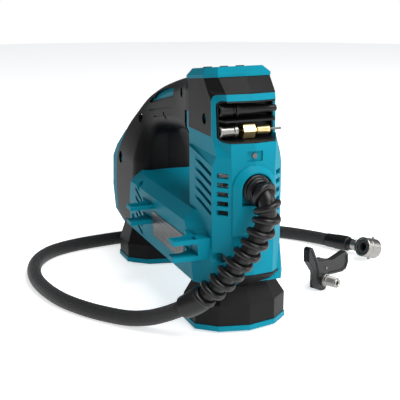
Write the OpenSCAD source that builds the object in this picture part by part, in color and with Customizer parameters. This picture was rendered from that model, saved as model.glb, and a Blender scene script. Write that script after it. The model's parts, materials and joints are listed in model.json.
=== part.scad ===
// Cordless inflator with a braided hose, three stored adapters and a valve clip.
// +X points to the hose end, +Y to the left side and +Z up, in millimetres.
// The origin is on the ground, under the middle of the front foot.

/* [Body] */
// Height of the display cap's crown above the ground
overall_h = 196; // [195:0.5:198]
// Width of the lower body across its two side faces
body_w = 73.4; // [72:0.2:75]
// Width of the tower that holds the pump
tower_w = 54.4; // [54:0.2:56]
// Thickness of the housing walls
wall = 2.5; // [2:0.25:3]
// Thickness of the soft overmould on the grip and the head
skin_t = 2; // [1.5:0.25:2.5]
// Width of the handle
grip_w = 32; // [31:0.5:35]
// Backward lean of the display cap in degrees
cap_tilt = 7.3; // [6.5:0.1:8]

/* [Feet] */
// Length of the front foot
foot_l = 60; // [58:1:62]
// Width of both feet
foot_w = 73.4; // [70:0.2:75]
// Height of the rubber pads under the feet
pad_h = 2; // [1.5:0.5:2.5]

/* [Hooks and vents] */
// Reach of the hose hooks from the middle plane
hook_reach = 56; // [52:1:58]
// Number of louvres in each vent of the tower
vent_count = 5; // [3:1:5]
// Height step between two louvres
vent_pitch = 7.2; // [6.6:0.1:7.4]

/* [Hose] */
// Diameter of the braided hose
hose_d = 12; // [11:0.5:12.5]
// Outer diameter of the spiral guard
guard_d = 20; // [19:0.5:21]

/* [Pump] */
// Bore of the cylinder
bore_d = 28; // [26:1:28]
// Stroke of the piston
stroke = 14; // [10:1:14]
// Teeth of the crank gear
gear_teeth = 42; // [38:1:42]
// Teeth of the motor pinion
pinion_teeth = 10; // [9:1:10]
// Diameter of the motor can
motor_d = 38; // [34:1:39]
// Length of the motor can
motor_l = 56; // [50:1:58]

/* [Hidden] */
$fn = 48;
fit_gap = 0.05;
free_gap = 0.3;
far = 400;

teal = [0.03, 0.44, 0.52];
black = [0.09, 0.09, 0.10];
steel = [0.62, 0.62, 0.62];
nickel = [0.78, 0.76, 0.72];
brass = [0.78, 0.62, 0.30];

half_body = body_w / 2;
half_tower = tower_w / 2;
half_head = half_tower - 2.2;
half_grip = grip_w / 2;
lean = tan(cap_tilt);
crown_x = 9;
cap_top = overall_h - lean * crown_x;
cap_base = 187.4;

// Rows of the tower: height, seam x, facet x, facet y, corner x, half width, back x, tilt
TOWER = [
    [41.8, 36, 33, 16.5, 22, half_tower, -24, 0.13],
    [130.3, 36, 33, 16.7, 22, half_tower, -24, -0.15],
    [134.6, 36, 33, 17.2, 24, half_head, -30, 0],
    [146, 35.5, 32.5, 17.5, 16.5, half_head, -31, 0],
    [172.5, 31, 28.5, 18.5, 14, half_head, -32, 0],
    [179.3, 28, 26, 19, 6.5, half_head, -32, 0],
    [cap_base, 17, 14.5, 20, -1, half_head, -34, lean]
];

// Rows of the lower body: height, front x inside, front x outside, half width inside,
// half width outside, rear x outside, rear x inside
BODY = [
    [38, 26, 8, 27, half_body, -150, -157],
    [64, 23, 1, 27, half_body, -150, -157],
    [80, 5, -10, 27, half_body, -146, -156],
    [88, -3, -12, 26, half_body - 7.5, -122, -152]
];

// Rows of the rear column: height, rear x, front x, half width, corner, depth of the bare rear edge
COLUMN = [
    [29, -205, -152, 28, 6, 18],
    [38, -222, -147, 31, 7, 18],
    [60, -229, -146, 31, 7, 19],
    [88, -230, -147, 30, 7, 19],
    [100, -221, -149, 29, 8, 17],
    [116, -204, -151, 25.5, 8, 11],
    [132, -186, -153, 19.5, 7, 2]
];

// Rows of the handle from back to front: x, lower height, upper height, half width, corner
HANDLE = [
    [-182, 106, 134, half_grip + 2.5, 7],
    [-165, 117, 150, half_grip + 1.2, 8],
    [-140, 127, 161, half_grip, 8],
    [-112, 132, 170, half_grip, 8],
    [-78, 135, 178, half_grip + 0.5, 8],
    [-52, 137, 181.5, half_grip + 4.5, 7],
    [-44, 136, 182, half_grip + 7.5, 7],
    [-30, 134, 182.5, half_grip + 8.8, 6]
];

// Plan of a foot as shares of its half length and half width
FOOT_PLAN = [[1, 0], [0.83, 0.61], [0.42, 1], [-0.42, 1], [-0.83, 0.61],
    [-1, 0], [-0.83, -0.61], [-0.42, -1], [0.42, -1], [0.83, -0.61]];
rear_foot_x = -170;

// Centre line of the hose, from the mouth of the elbow to the sleeve
HOSE_ROUTE = [
    [57, 0, 102], [57, 0, 97], [56.7, -2.5, 90], [55, -6, 82], [53, -10, 74], [50, -15, 66],
    [47, -20, 58], [44, -25, 51], [40, -31, 43.5], [35, -38, 36], [29, -45, 29], [21, -53, 22.5],
    [12, -61, 16.5], [1, -70, 11], [-12, -81, 7.5], [-28, -93, 6.2], [-47, -106, 6], [-72, -118, 6],
    [-101, -125, 6], [-130, -127, 6], [-158, -123, 6], [-182, -113, 6], [-200, -97, 6],
    [-211, -74, 6], [-217, -45, 6], [-220, -12, 6], [-221, 25, 6], [-217, 60, 6], [-206, 90, 6],
    [-190, 115, 6], [-172, 134, 6.2], [-154, 147, 6.6], [-134, 156.5, 7.6]
];
guard_last = 10;
hose_sides = 10;

// Screw places through the housing: x, z, y of the head, y of the tip
SCREWS = [
    [26, 60, -18, 17],
    [0.5, 158, -20, 18],
    [-66, 168, -12, 10],
    [-173, 133, -12, 11],
    [-205, 92, -21, 20],
    [-124, 80.5, -28, 26],
    [-140, 48, -31, 28]
];

motor_z = 62;
motor_front = -40;
gear_x = -17;
gear_t = 6;
frame_x = skin_t - 22.5;
gear_pitch_r = gear_teeth / 2;
pinion_pitch_r = pinion_teeth / 2;
gear_z = motor_z + gear_pitch_r + pinion_pitch_r;
crank_r = stroke / 2;
pin_z = gear_z + crank_r;
cylinder_z0 = 111;
cylinder_z1 = 134;
cylinder_wall = 2.2;
piston_top = 132;
hose_z = 112;
tray_x = 7;
tray_y = 23.2;
tray_z0 = 144.5;
tray_z1 = 174;
adapter_x = 21;
upper_z = 166.5;
lower_z = 151.5;
trigger_pivot = [-36, 149];
clip_origin = [-30, 95, 0];
clip_turn = 26;
clip_pin_y = 3;
clip_pin_z = 19;
chuck_mouth = [-83, 163, 15];
chuck_turn = 107;
chuck_dip = 17;

// A closed solid through a list of rings that all have the same number of points
module skin(rings) {
    n = len(rings[0]);
    m = len(rings);
    sides = [for (i = [0:m - 2], j = [0:n - 1], k = [0, 1])
        let (a = i * n + j, b = i * n + (j + 1) % n)
        k == 0 ? [a, a + n, b] : [b, a + n, b + n]];
    base = [for (j = [0:n - 1]) j];
    top = [for (j = [n - 1:-1:0]) (m - 1) * n + j];
    polyhedron(points = [for (ring = rings) each ring], faces = concat([base], sides, [top]));
}

// Rings of the four outlines, drawn in by g
function tower_ring(r, g) = [for (p = [
    [r[1] - g, 0], [r[2] - g, r[3] - 0.4 * g], [r[4] - 0.4 * g, r[5] - g], [r[6] + g, r[5] - g],
    [r[6] + g, g - r[5]], [r[4] - 0.4 * g, g - r[5]], [r[2] - g, 0.4 * g - r[3]]
    ]) [p[0], p[1], r[0] + r[7] * p[0]]];
function body_ring(r, g, lift) = [for (p = [
    [r[1] - g, r[3] - 0.4 * g], [r[2] - 0.4 * g, r[4] - g], [r[5] + 0.4 * g, r[4] - g],
    [r[6] + g, r[4] - 5 - 0.4 * g], [r[6] + g, 5 + 0.4 * g - r[4]], [r[5] + 0.4 * g, g - r[4]],
    [r[2] - 0.4 * g, g - r[4]], [r[1] - g, 0.4 * g - r[3]]
    ]) [p[0], p[1], r[0] + lift]];
function column_ring(r, g, lift) = let (a = r[2] - g, b = r[1] + g, w = r[3] - g, c = r[4] - 0.4 * g)
    [for (p = [[a, w - c], [a - c, w], [b + c, w], [b, w - c],
        [b, c - w], [b + c, -w], [a - c, -w], [a, c - w]]) [p[0], p[1], r[0] + lift]];
function handle_ring(r, g) = let (a = r[1] + g, b = r[2] - g, w = r[3] - g, c = r[4] - 0.4 * g)
    [for (p = [[w, a + c], [w, b - c], [w - c, b], [c - w, b],
        [-w, b - c], [-w, a + c], [c - w, a], [w - c, a]]) [r[0], p[0], p[1]]];
function foot_ring(cx, a, b, z, tilt = 0) = [for (p = FOOT_PLAN)
    [cx + a * p[0], b * p[1], z + tilt * a * p[0]]];

function raised(ring, lift) = [for (p = ring) [p[0], p[1], p[2] + lift]];

// Places the children on the lean plane of the cap, over the point x
module on_cap(x) {
    translate([x, 0, cap_top + lean * x])
        rotate([0, -cap_tilt, 0])
            children();
}

// A bar along X with a rounded section
module x_bar(x0, x1, y0, y1, z0, z1, r) {
    translate([x0, 0, 0])
        rotate([90, 0, 90])
            linear_extrude(height = x1 - x0) {
                translate([y0 + r, z0])
                    square([y1 - y0 - 2 * r, z1 - z0]);
                translate([y0, z0 + r])
                    square([y1 - y0, z1 - z0 - 2 * r]);
                for (y = [y0 + r, y1 - r], z = [z0 + r, z1 - r])
                    translate([y, z])
                        circle(r = r);
            }
}

// A cylinder along X or Y from its first to its last position
module x_rod(x0, x1, y, z, r) {
    translate([x0, y, z])
        rotate([0, 90, 0])
            cylinder(h = x1 - x0, r = r);
}

module y_rod(x, y0, y1, z, r) {
    translate([x, y1, z])
        rotate([90, 0, 0])
            cylinder(h = y1 - y0, r = r);
}

// The half space right of the middle plane, or left of it
module side_space(side) {
    translate([-far, side > 0 ? 0 : -far, -far])
        cube([2 * far, far, 2 * far]);
}

// The tower, or the space inside it, which stops above the tower's base and passes its top
module tower_solid(g) {
    last = len(TOWER) - 1;
    rings = [for (i = [0:last]) raised(tower_ring(TOWER[i], g), g > 0 && i == 0 ? wall : 0)];
    skin(g == 0 ? rings : concat(rings, [raised(rings[last], 4)]));
}

module body_solid(g) {
    last = len(BODY) - 1;
    skin([for (i = [0:last]) body_ring(BODY[i], g, i == 0 ? g : (i == last ? -g : 0))]);
}

module column_solid(g) {
    last = len(COLUMN) - 1;
    skin([for (i = [0:last]) column_ring(COLUMN[i], g, i == 0 ? g : (i == last ? -g : 0))]);
}

module handle_solid(g) {
    last = len(HANDLE) - 1;
    skin([for (i = [0:last]) let (shift = i == 0 ? -g / 2 : i == last ? g / 2 : 0)
        [for (p = handle_ring(HANDLE[i], g)) [p[0] + shift, p[1], p[2]]]]);
}

// Everything above the line where the soft wrap of the head begins
module wrap_space() {
    translate([-far, -far, 147])
        cube([2 * far, 2 * far, far]);
}

// The teal frame round the tray, which reaches the outer face
module bezel_space() {
    x_bar(13.5, 60, -half_head - 0.5, half_head + 0.5, 130, 178.5, 8);
}

// Rear edge of the column, which the soft grip leaves bare
module rear_rim_space() {
    skin([for (r = COLUMN) let (edge = r[1] + r[5])
        [for (p = [[edge, 60], [-far, 60], [-far, -60], [edge, -60]]) [p[0], p[1], r[0] - 0.7]]]);
}

// Outer form of the two hard shells together, as a solid
module shell_form() {
    difference() {
        tower_solid(0);
        difference() {
            wrap_space();
            bezel_space();
            tower_solid(skin_t);
        }
    }
    body_solid(0);
    column_solid(skin_t);
    intersection() {
        column_solid(0);
        rear_rim_space();
    }
    handle_solid(skin_t);
    for (cx = [0, rear_foot_x]) {
        skin([foot_ring(cx, foot_l / 2 + 0.6, foot_w / 2 + 0.6, pad_h),
            foot_ring(cx, foot_l / 2 + 0.6, foot_w / 2 + 0.6, pad_h + 4)]);
        skin([foot_ring(cx, foot_l / 2 - 9, foot_w / 2 - 9, pad_h + 3.9),
            foot_ring(cx, foot_l / 2 - 9, foot_w / 2 - 9, 44)]);
    }
}

// Hollow inside the shells
module shell_hollow() {
    tower_solid(skin_t + 1.5);
    body_solid(wall);
    column_solid(skin_t + wall);
    handle_solid(skin_t + wall);
    // Way from the head back into the handle
    translate([-48, -12, 146])
        cube([30, 24, 28]);
}

// An arch-topped block round the hose's height, from x0 to x1 and down to foot_z
module arch(x0, x1, r, foot_z) {
    x_rod(x0, x1, 0, hose_z, r);
    translate([x0, -r, foot_z])
        cube([x1 - x0, 2 * r, hose_z - foot_z]);
}

module hose_boss() {
    hull() {
        arch(32.8, 35.5, 16.8, 78);
        arch(40, 40.4, 12.8, 101);
    }
}

// Openings in the shells for the tray, trigger, battery, vents and screws
module shell_openings() {
    x_bar(tray_x, 60, -tray_y, tray_y, tray_z0, tray_z1, 4);
    translate([15, 0, tray_z0 + 3])
        cube([40, half_head + 5, tray_z1 - tray_z0 - 6]);
    x_rod(20, 60, 0, hose_z, 5 + fit_gap);
    x_rod(34, 60, 0, hose_z, 8.3);
    arch(36.5, 60, 11.9, 101);
    // Trigger slot
    translate([-82.4, -7.6, 120])
        cube([48.7, 15.2, 26]);
    battery_space();
    // Louvres on the front corners and on the tower's sides
    for (side = [-1, 1], i = [0:vent_count - 1]) {
        translate([28, side * 22, 121 - (vent_pitch - 0.4) * i])
            rotate([0, 0, side * 45])
                cube([12, 9, 3.8], center = true);
        translate([6.9, side * half_tower, 123.3 - vent_pitch * i])
            rotate([0, 12, 0])
                scale([1, side, 1])
                    linear_extrude(height = 3.05, center = true)
                        polygon([[-20, 0.1], [-13.1, -2.6], [-13.1, -8], [13.1, -8], [13.1, 3], [-20, 3]]);
        translate([-123, side * half_body, 73 - vent_pitch * i])
            rotate([0, 22, 0])
                cube([20, 12, 3], center = true);
    }
    // Screw recess on the front seam
    translate([33.6, -6, 131.5])
        cube([10, 12, 7.5]);
    x_rod(20, 40, 0, 135.5, 1.5 + fit_gap);
    for (s = SCREWS) {
        y_rod(s[0], -60, s[2], s[1], 4);
        y_rod(s[0], s[2] - 1, s[3], s[1], 1.5);
    }
    // Lock button, on the left
    y_rod(-58, 5, 40, 160, 4.3);
}

// Hose hooks on the right side
module hose_hooks() {
    for (x = [7.5, -96], z = [57.5, 70]) {
        translate([x, -hook_reach, z])
            difference() {
                cube([11.5, hook_reach - half_body + 1.2, 3.4]);
                if (z > 60)
                    translate([1.5, 1.5, 1.4])
                        cube([8.5, hook_reach - half_body - 2, 3]);
            }
        // Gusset from the hook's flank to the side face
        translate([x, -half_body, z])
            linear_extrude(height = 3.4)
                polygon([[0.1, -10], [0.1, 1], [-16.5, 1], [-16, -0.5], [-5, -3]]);
    }
    // Web that carries the front pair where the body narrows
    translate([7.5, -half_body - 0.2, 57.5])
        cube([11.5, 12, 15.9]);
}

// Walls and rails of the bay that the battery slides into
module battery_bay() {
    intersection() {
        column_solid(skin_t);
        difference() {
            translate([-240, -24.5, 39.5])
                cube([24.5, 49, 75]);
            battery_space();
        }
    }
}

module battery_space() {
    difference() {
        translate([-250, -22, 42])
            cube([32, 44, 90]);
        for (y = [-22.1, 19.6])
            translate([-227.5, y, 46])
                cube([3, 2.5, 58]);
    }
}

// Posts across the housing that the screws bite into, wider round the recess of the head
module screw_posts() {
    for (s = SCREWS) {
        y_rod(s[0], -60, s[2] + 1.5, s[1], 5.5);
        y_rod(s[0], s[2], 60, s[1], 3.6);
    }
}

module housing_half(side) {
    difference() {
        intersection() {
            union() {
                difference() {
                    union() {
                        shell_form();
                        hose_boss();
                    }
                    shell_hollow();
                }
                intersection() {
                    screw_posts();
                    shell_form();
                }
                battery_bay();
                if (side < 0)
                    hose_hooks();
            }
            side_space(side);
        }
        shell_openings();
    }
}

module housing_right() {
    color(teal) housing_half(-1);
}

module housing_left() {
    color(teal) housing_half(1);
}

// Soft overmould on the handle and the rear column
module grip_half(side) {
    difference() {
        intersection() {
            union() {
                difference() {
                    column_solid(0);
                    rear_rim_space();
                }
                handle_solid(0);
            }
            side_space(side);
        }
        column_solid(skin_t);
        handle_solid(skin_t);
        body_solid(0);
        tower_solid(0);
        shell_openings();
        skin([foot_ring(rear_foot_x, foot_l / 2 - 9, foot_w / 2 - 9, pad_h),
            foot_ring(rear_foot_x, foot_l / 2 - 9, foot_w / 2 - 9, 44)]);
    }
}

module grip_right() {
    color(black) grip_half(-1);
}

module grip_left() {
    color(black) grip_half(1);
}

// Soft wrap round the head
module head_wrap_half(side) {
    difference() {
        intersection() {
            tower_solid(0);
            wrap_space();
            side_space(side);
        }
        tower_solid(skin_t);
        bezel_space();
        handle_solid(skin_t);
        shell_openings();
    }
}

module head_wrap_right() {
    color(black) head_wrap_half(-1);
}

module head_wrap_left() {
    color(black) head_wrap_half(1);
}

function cap_ring(seam, fx, fy, cx, hw, bx, z) = tower_ring([z, seam, fx, fy, cx, hw, bx, lean], 0);

module display_cap() {
    color(teal)
        difference() {
            skin([cap_ring(17.4, 15, 20.4, -0.8, half_head + 0.5, -34.5, cap_base),
                cap_ring(17.4, 15, 20.4, -0.8, half_head + 0.5, -34.5, cap_base + 2.5),
                cap_ring(9, 7.4, 17.4, -5, half_head - 3, -31, cap_top)]);
            on_cap(-12) {
                translate([-16, -18, -12])
                    cube([32, 36, 9.5]);
                translate([-4, -13, -5])
                    cube([17, 26, 10]);
                for (y = [-13, 0, 13])
                    translate([-11, y, -5])
                        cylinder(h = 10, r = 3.6);
            }
        }
}

module display_lens() {
    color([0.10, 0.14, 0.15])
        on_cap(-12)
            translate([-4, -13, -2.4])
                cube([17, 26, 2.2]);
}

module display_board() {
    color([0.05, 0.25, 0.12])
        on_cap(-12)
            translate([-15, -17, -6.5])
                cube([30, 34, 1.4]);
}

module cap_button(y) {
    on_cap(-12)
        translate([-11, y, -3.7])
            cylinder(h = 4.4, r = 3.6 - free_gap);
}

module power_button() {
    color(black) cap_button(-13);
}

module minus_button() {
    color(black) cap_button(0);
}

module plus_button() {
    color(black) cap_button(13);
}

// Rubber boots round the feet
module front_boot() {
    color(black)
        difference() {
            skin([foot_ring(0, foot_l / 2, foot_w / 2, pad_h + 4),
                foot_ring(0, foot_l / 2, foot_w / 2, 22),
                foot_ring(-1, foot_l / 2 - 6, foot_w / 2 - 7, 34),
                foot_ring(2, foot_l / 2 + 4.2, foot_w / 2 - 1, 42, 0.13)]);
            shell_form();
            for (side = [-1, 1])
                translate([-far / 2, side > 0 ? half_tower : -far - half_tower, 38])
                    cube([far, far, far]);
        }
}

module rear_boot() {
    color(black)
        difference() {
            skin([foot_ring(rear_foot_x, foot_l / 2, foot_w / 2, pad_h + 4),
                foot_ring(rear_foot_x, foot_l / 2, foot_w / 2, 19),
                foot_ring(rear_foot_x, foot_l / 2 - 4, foot_w / 2 - 6, 38)]);
            shell_form();
            column_solid(0);
        }
}

module foot_pads() {
    color(black)
        for (cx = [0, rear_foot_x])
            skin([foot_ring(cx, foot_l / 2 - 4, foot_w / 2 - 4, 0),
                foot_ring(cx, foot_l / 2 - 4, foot_w / 2 - 4, pad_h)]);
}

// Tray that stores the adapters in the front of the head
module accessory_tray() {
    tray_t = 1.2;
    color(black)
        intersection() {
            tower_solid(0.6);
            difference() {
                x_bar(tray_x, 60, -tray_y, tray_y, tray_z0, tray_z1, 4);
                difference() {
                    x_bar(tray_x + tray_t, 70, tray_t - tray_y, tray_y + 10,
                        tray_z0 + tray_t, tray_z1 - tray_t, 3);
                    translate([0, tray_y - tray_t, 0])
                        cube([15, tray_t + 20, 300]);
                    translate([0, -tray_y, 158.6])
                        cube([27, 2 * tray_y, 1.4]);
                    translate([0, -6.8, 144])
                        cube([17, 1.2, 15]);
                }
            }
        }
}

// Black tapered nozzle for inflatables, stored lengthwise across the head
module tapered_nozzle() {
    color(black)
        translate([adapter_x, -21.6, upper_z])
            rotate([-90, 0, 0])
                difference() {
                    rotate_extrude()
                        polygon([[0, 0], [3.9, 0], [4.2, 0.4], [4.2, 9], [3.6, 9.6], [3.6, 11], [5, 11.4],
                            [5, 13.4], [4.1, 14], [4.05, 23], [2.4, 43.6], [0, 43.6]]);
                    translate([0, 0, -1])
                        cylinder(h = 11, r = 2.4);
                    cylinder(h = 60, r = 1.4);
                }
}

// Nickel valve adapter
module valve_adapter() {
    color(nickel)
        translate([adapter_x, -21.6, lower_z])
            rotate([-90, 0, 0])
                difference() {
                    rotate_extrude()
                        polygon([[0, 0], [3.8, 0], [4.2, 0.4], [4.2, 10], [4.95, 10.4], [4.95, 12.8], [4, 13.3],
                            [0.9, 13.4], [0.9, 16], [0, 16]]);
                    translate([0, 0, -1])
                        cylinder(h = 10, r = 2.7);
                }
}

// Brass body of the ball needle, with a hexagon and a reed end
module needle_adapter() {
    color(brass)
        translate([adapter_x, -5, lower_z])
            rotate([-90, 0, 0])
                difference() {
                    union() {
                        cylinder(h = 9.5, r = 6.1, $fn = 6);
                        translate([0, 0, 9.4])
                            cylinder(h = 2.6, r = 2.4);
                        translate([0, 0, 11.8])
                            cylinder(h = 9.8, r = 3.4);
                    }
                    translate([0, 0, -1])
                        cylinder(h = 6, r = 2.6);
                    translate([0, 0, 11])
                        cylinder(h = 20, r = 0.9);
                }
}

module ball_needle() {
    color(steel)
        translate([adapter_x, 6, lower_z])
            rotate([-90, 0, 0])
                cylinder(h = 20.7, r = 0.9);
}

module trigger() {
    px = trigger_pivot[0];
    pz = trigger_pivot[1];
    color(black)
        difference() {
            union() {
                translate([0, 7, 0])
                    rotate([90, 0, 0])
                        linear_extrude(height = 14)
                            polygon([[px + 2, pz - 4], [px - 2, pz + 3], [px - 36, pz + 1], [px - 41, pz - 8],
                                [px - 38, pz - 17], [px - 30, pz - 21.5], [px - 18, pz - 21], [px - 8, pz - 15]]);
                y_rod(px, -7, 7, pz, 4);
            }
            y_rod(px, -20, 20, pz, 1.5 + fit_gap);
        }
}

module trigger_pin() {
    color(steel) y_rod(trigger_pivot[0], -12.5, 12.5, trigger_pivot[1], 1.5);
}

// Coil spring between the trigger and the switch
module trigger_spring() {
    turns = 2;
    steps = 12;
    coil_r = 2.6;
    wire_r = 0.45;
    base_z = 150.9;
    rise = 2.9;
    color(steel)
        skin([for (i = [0:turns * steps]) let (a = 360 * i / steps)
            [for (k = [0:5]) let (q = coil_r + wire_r * cos(60 * k))
                [-66 + q * cos(a), q * sin(a),
                    base_z + rise * i / (turns * steps) - wire_r * sin(60 * k)]]]);
}

module lock_button() {
    color(black)
        difference() {
            y_rod(-58, 11, half_grip + 4, 160, 4);
            y_rod(-58, 5, 14, 160, 2);
        }
}

module switch_body() {
    color(black)
        translate([-78, -9, 154.4])
            cube([36, 17, 9]);
}

module battery_terminal() {
    color(black) {
        difference() {
            translate([-224, -16, 50])
                cube([6, 32, 46]);
            for (y = [-9.5, -0.5, 8])
                translate([-225, y - 1.5, 60])
                    cube([5, 4.5, 40]);
        }
        for (y = [-9.5, -0.5, 8])
            translate([-224, y, 60])
                cube([4.2, 1.5, 30]);
    }
}

module controller_board() {
    color([0.05, 0.25, 0.12]) {
        translate([-200, -22, 48])
            cube([1.6, 44, 34]);
        for (z = [52, 66])
            translate([-198.4, -12, z])
                cube([8, 18, 10]);
    }
}

module motor_can() {
    color(steel)
        difference() {
            x_rod(motor_front - motor_l, motor_front, 0, motor_z, motor_d / 2);
            x_rod(motor_front - motor_l + 2, motor_front - 2, 0, motor_z, motor_d / 2 - 1.5);
            x_rod(motor_front - motor_l - 1, motor_front + 1, 0, motor_z, 1.6 + fit_gap);
        }
}

module motor_magnets() {
    color([0.2, 0.2, 0.22])
        difference() {
            x_rod(motor_front - motor_l + 8, motor_front - 8, 0, motor_z, motor_d / 2 - 1.5);
            x_rod(motor_front - motor_l, motor_front, 0, motor_z, motor_d / 2 - 5);
            translate([motor_front - motor_l, -4, 0])
                cube([motor_l, 8, 200]);
        }
}

module motor_armature() {
    slots = 5;
    color([0.55, 0.3, 0.15])
        difference() {
            x_rod(motor_front - motor_l + 10, motor_front - 10, 0, motor_z, motor_d / 2 - 5.6);
            for (i = [0:slots - 1])
                translate([0, 0, motor_z])
                    rotate([360 * i / slots, 0, 0])
                        translate([motor_front - motor_l, -1, 7])
                            cube([motor_l, 2, 20]);
            x_rod(motor_front - motor_l, motor_front, 0, motor_z, 1.6);
        }
}

module motor_shaft() {
    color(steel) x_rod(motor_front - motor_l - 13, -9.5, 0, motor_z, 1.6);
}

module cooling_fan() {
    blades = 9;
    back = motor_front - motor_l - 12;
    color(black)
        difference() {
            union() {
                x_rod(back, back + 1.5, 0, motor_z, 16);
                x_rod(back, back + 9, 0, motor_z, 5);
                for (i = [0:blades - 1])
                    translate([back, 0, motor_z])
                        rotate([360 * i / blades, 0, 0])
                            translate([0, -0.6, 4])
                                cube([8, 1.2, 12]);
            }
            x_rod(back - 1, back + 12, 0, motor_z, 1.6);
        }
}

// Spur gear in the plane across X, module 1, with one tooth pointing along turn
module spur_gear(teeth, t, turn) {
    pitch_r = teeth / 2;
    root_r = pitch_r - 1.25;
    tip_r = pitch_r + 0.85;
    rotate([turn, 0, 0])
        rotate([90, 0, 90])
            linear_extrude(height = t) {
                circle(r = root_r + 0.1);
                for (i = [0:teeth - 1])
                    rotate(360 * i / teeth)
                        polygon([[root_r - 0.4, -0.95], [pitch_r, -0.62], [tip_r, -0.25],
                            [tip_r, 0.25], [pitch_r, 0.62], [root_r - 0.4, 0.95]]);
            }
}

module drive_pinion() {
    color(steel)
        translate([gear_x - 0.5, 0, motor_z])
            difference() {
                spur_gear(pinion_teeth, 7, 90);
                x_rod(-1, 20, 0, 0, 1.6);
            }
}

module crank_gear() {
    color([0.85, 0.85, 0.8])
        difference() {
            translate([gear_x, 0, gear_z])
                spur_gear(gear_teeth, gear_t, -90 + 180 / gear_teeth);
            x_rod(gear_x - 1, gear_x + 20, 0, gear_z, 3 + fit_gap);
            x_rod(gear_x + 2, gear_x + 20, 0, pin_z, 2.8);
            for (a = [60, 180, 300])
                translate([gear_x - 1, 0, gear_z])
                    rotate([a + 30, 0, 0])
                        translate([0, 0, 13])
                            rotate([0, 90, 0])
                                cylinder(h = 20, r = 3.4);
        }
}

module crank_pin() {
    color(steel) x_rod(gear_x + 2, -3.5, 0, pin_z, 2.8);
}

module gear_axle() {
    color(steel) x_rod(frame_x, gear_x + gear_t + 0.8, 0, gear_z, 3);
}

// Metal frame that holds the axle and the cylinder
module pump_frame() {
    color([0.7, 0.7, 0.72])
        difference() {
            union() {
                translate([frame_x, -17, 68])
                    cube([2.4, 34, 45.6]);
                translate([frame_x, -17, cylinder_z0])
                    cube([37, 34, 2.6]);
            }
            translate([0, 0, 100])
                cylinder(h = 30, r = bore_d / 2 + cylinder_wall);
            x_rod(-30, 0, 0, gear_z, 3);
            x_rod(-30, 0, 0, motor_z, 8);
        }
}

module pump_cylinder() {
    color([0.7, 0.7, 0.72]) difference() {
        union() {
            translate([0, 0, cylinder_z0])
                cylinder(h = cylinder_z1 - cylinder_z0, r = bore_d / 2 + cylinder_wall);
            for (i = [0:3])
                translate([0, 0, cylinder_z0 + 6 + 4 * i])
                    cylinder(h = 1.4, r = bore_d / 2 + cylinder_wall + 1.6);
        }
        translate([0, 0, cylinder_z0 - 1])
            cylinder(h = 50, r = bore_d / 2);
    }
}

module cylinder_head() {
    color([0.7, 0.7, 0.72])
        difference() {
            union() {
                translate([0, 0, cylinder_z1])
                    cylinder(h = 6, r = bore_d / 2 + cylinder_wall);
                x_rod(10, 20.5, 0, cylinder_z1 + 3, 2.9);
            }
            translate([0, 0, cylinder_z1 - 1])
                cylinder(h = 3, r = 8);
            x_rod(0, 30, 0, cylinder_z1 + 3, 1.4);
        }
}

module piston() {
    color([0.75, 0.75, 0.75])
        difference() {
            translate([0, 0, piston_top - 7])
                cylinder(h = 7, r = bore_d / 2 - 0.5);
            difference() {
                translate([0, 0, piston_top - 5])
                    cylinder(h = 3, r = bore_d);
                cylinder(h = 300, r = bore_d / 2 - 2.5);
            }
        }
}

module piston_seal() {
    color(black)
        translate([0, 0, piston_top - 5])
            difference() {
                cylinder(h = 3, r = bore_d / 2 - fit_gap);
                translate([0, 0, -1])
                    cylinder(h = 5, r = bore_d / 2 - 2.5);
            }
}

module piston_rod() {
    color([0.75, 0.75, 0.75])
        difference() {
            union() {
                x_rod(-3, 3, 0, pin_z, 6.5);
                translate([-2, -3.5, pin_z + 3])
                    cube([4, 7, piston_top - 7 - pin_z - 3]);
            }
            x_rod(-10, 10, 0, pin_z, 3.2);
        }
}

// Silicone tube from the cylinder head to the hose fitting
module air_tube() {
    top_z = cylinder_z1 + 3;
    color([0.85, 0.85, 0.82])
        difference() {
            union() {
                x_rod(20.5, 24.5, 0, top_z, 2.9);
                translate([24.5, 0, top_z])
                    sphere(r = 2.9);
                translate([24.5, 0, hose_z])
                    cylinder(h = top_z - hose_z, r = 2.9);
                translate([24.5, 0, hose_z])
                    sphere(r = 2.9);
                x_rod(24.5, 28, 0, hose_z, 2.9);
            }
            x_rod(10, 24.5, 0, top_z, 1.4);
            translate([24.5, 0, hose_z])
                cylinder(h = top_z - hose_z, r = 1.4);
            x_rod(24.5, 40, 0, hose_z, 1.4);
        }
}

// Brass fitting that the hose screws into
module hose_fitting() {
    color(brass)
        difference() {
            union() {
                x_rod(28, 34, 0, hose_z, 5);
                x_rod(34, 37, 0, hose_z, 8);
            }
            x_rod(20, 60, 0, hose_z, 2);
        }
}

// Moulded elbow that turns the hose down in front of the tower
module hose_elbow() {
    bend_r = 10;
    color(black)
        difference() {
            union() {
                x_rod(37, 41, 0, hose_z, 10.6);
                x_rod(41, 44, 0, hose_z, 9.9);
                x_rod(44, 47, 0, hose_z, 9);
                quarter_bend(bend_r, 9);
            }
            x_rod(30, 47, 0, hose_z, 4);
            quarter_bend(bend_r, 4);
        }
}

// Quarter of a ring that turns from +X at the hose's height down to the route's start
module quarter_bend(bend_r, r) {
    translate([47, 0, hose_z - bend_r])
        rotate([90, 0, 0])
            rotate_extrude(angle = 90)
                translate([bend_r, 0])
                    circle(r = r);
}

// Ring of a tube of radius r round point i of a route
function route_dir(path, i) = let (a = path[max(i - 1, 0)], b = path[min(i + 1, len(path) - 1)])
    (b - a) / norm(b - a);
function tube_ring(path, i, r, sides) = let (d = route_dir(path, i), u = cross([0.6, -0.5, 0.62], d),
    e = u / norm(u), w = cross(d, e))
    [for (k = [0:sides - 1]) path[i] + r * (cos(360 * k / sides) * e + sin(360 * k / sides) * w)];

module tube(path, first, last, r, sides) {
    skin([for (i = [first:last]) tube_ring(path, i, r, sides)]);
}

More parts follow.
